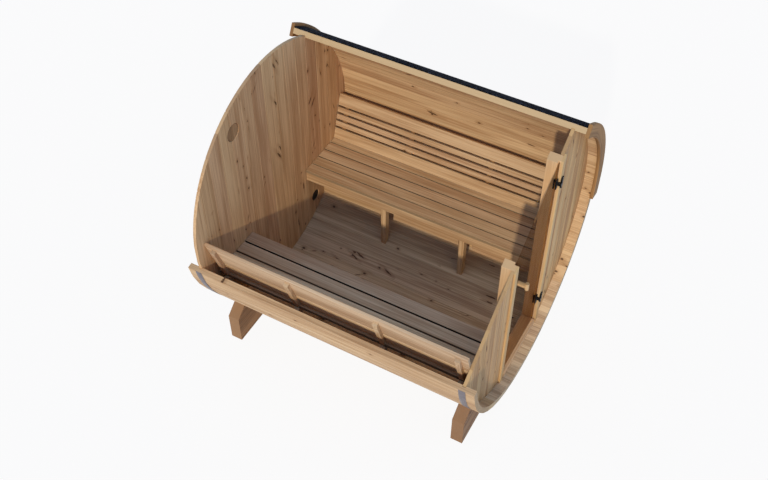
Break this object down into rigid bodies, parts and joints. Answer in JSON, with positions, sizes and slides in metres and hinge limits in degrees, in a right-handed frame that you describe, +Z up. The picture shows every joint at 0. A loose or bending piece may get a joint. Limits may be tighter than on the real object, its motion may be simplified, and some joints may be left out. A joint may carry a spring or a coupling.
{
  "type": "barrel sauna",
  "caption": "Round timber sauna of bead-and-cove staves on cradles, cut away along one side to show slatted benches, boarded end walls and a hinged glass door.",
  "frame": {"origin": "on the ground, under the middle of the part's box", "axes": "+X along the barrel towards the door, +Y towards the roofed side, +Z up"},
  "size_m": [2.155, 1.9834, 1.9923],
  "materials": {
    "stave_wood": "planed spruce, oiled",
    "wall_wood": "planed knotty boards",
    "jamb_wood": "planed, satin",
    "casing_wood": "planed pale wood",
    "glass": "bronze tinted, clear",
    "handle_wood": "turned pale wood",
    "black_metal": "satin black",
    "slat_wood": "planed, clear of knots",
    "frame_wood": "planed",
    "hoop_steel": "plain strap",
    "roof_felt": "mineral granules on bitumen",
    "fascia_wood": "sawn curve, planed faces",
    "cradle_wood": "planed beam"
  },
  "bodies": {
    "barrel": {"floor_staves": "stave_wood", "open_side_staves": "stave_wood", "roof_side_staves": "stave_wood", "roof_staves": "stave_wood", "back_wall": "wall_wood", "high_vent_cover": "wall_wood", "front_wall_open_side": "wall_wood", "front_wall_roof_side": "wall_wood", "front_wall_under_sill": "wall_wood", "latch_jamb": "jamb_wood", "hinge_jamb": "jamb_wood", "door_casings": "casing_wood", "door_sill": "casing_wood", "hinge_plates": "black_metal", "low_vent_cover": "black_metal", "open_bench_slats": "slat_wood", "open_bench_apron": "slat_wood", "open_bench_skirts": "slat_wood", "open_backrest_boards": "slat_wood", "roof_bench_slats": "slat_wood", "roof_bench_apron": "slat_wood", "roof_bench_skirts": "slat_wood", "roof_backrest_boards": "slat_wood", "open_bench_bearers": "frame_wood", "open_bench_legs": "frame_wood", "open_backrest_battens": "frame_wood", "roof_bench_bearers": "frame_wood", "roof_bench_legs": "frame_wood", "roof_backrest_battens": "frame_wood", "back_hoop": "hoop_steel", "front_hoop": "hoop_steel", "roof_felt": "roof_felt", "back_fascia": "fascia_wood", "front_fascia": "fascia_wood", "back_cradle": "cradle_wood", "front_cradle": "cradle_wood"},
    "door": {"glass_pane": "glass", "door_handle": "handle_wood", "hinge_clamps": "black_metal"}
  },
  "joints": [
    {"name": "door_hinge", "type": "hinge", "parent": "barrel", "child": "door", "pos_m": [1.0017, 0.2717, 1.04], "axis": [0, 0, 1], "range_deg": [0, 90]}
  ]
}
